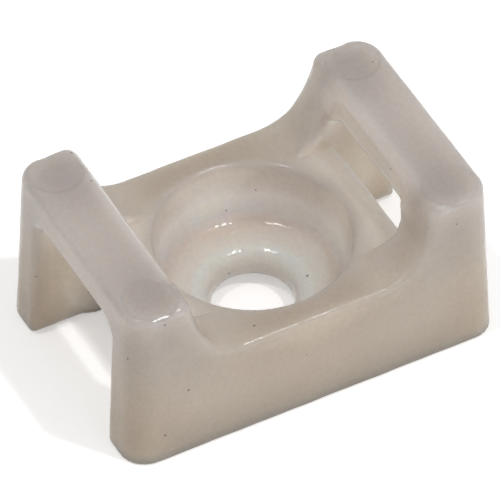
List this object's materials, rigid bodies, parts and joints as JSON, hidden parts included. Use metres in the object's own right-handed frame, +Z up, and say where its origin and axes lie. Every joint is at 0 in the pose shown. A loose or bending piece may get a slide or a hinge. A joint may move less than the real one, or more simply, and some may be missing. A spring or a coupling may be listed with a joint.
{
  "type": "cable tie mount",
  "caption": "Screw-on cable tie mount in natural nylon: a block with a cradle between end bars, a passage for the tie and a dished screw hole.",
  "frame": {"origin": "on the base, at the axis of the screw hole", "axes": "+X along the tie and the length of the base, +Y along the bundle, +Z up out of the mounting surface"},
  "size_m": [0.015, 0.0098, 0.007],
  "materials": {
    "nylon": "natural unfilled nylon, milky and slightly translucent, satin"
  },
  "bodies": {
    "root": {"tie_mount": "nylon"}
  },
  "joints": []
}
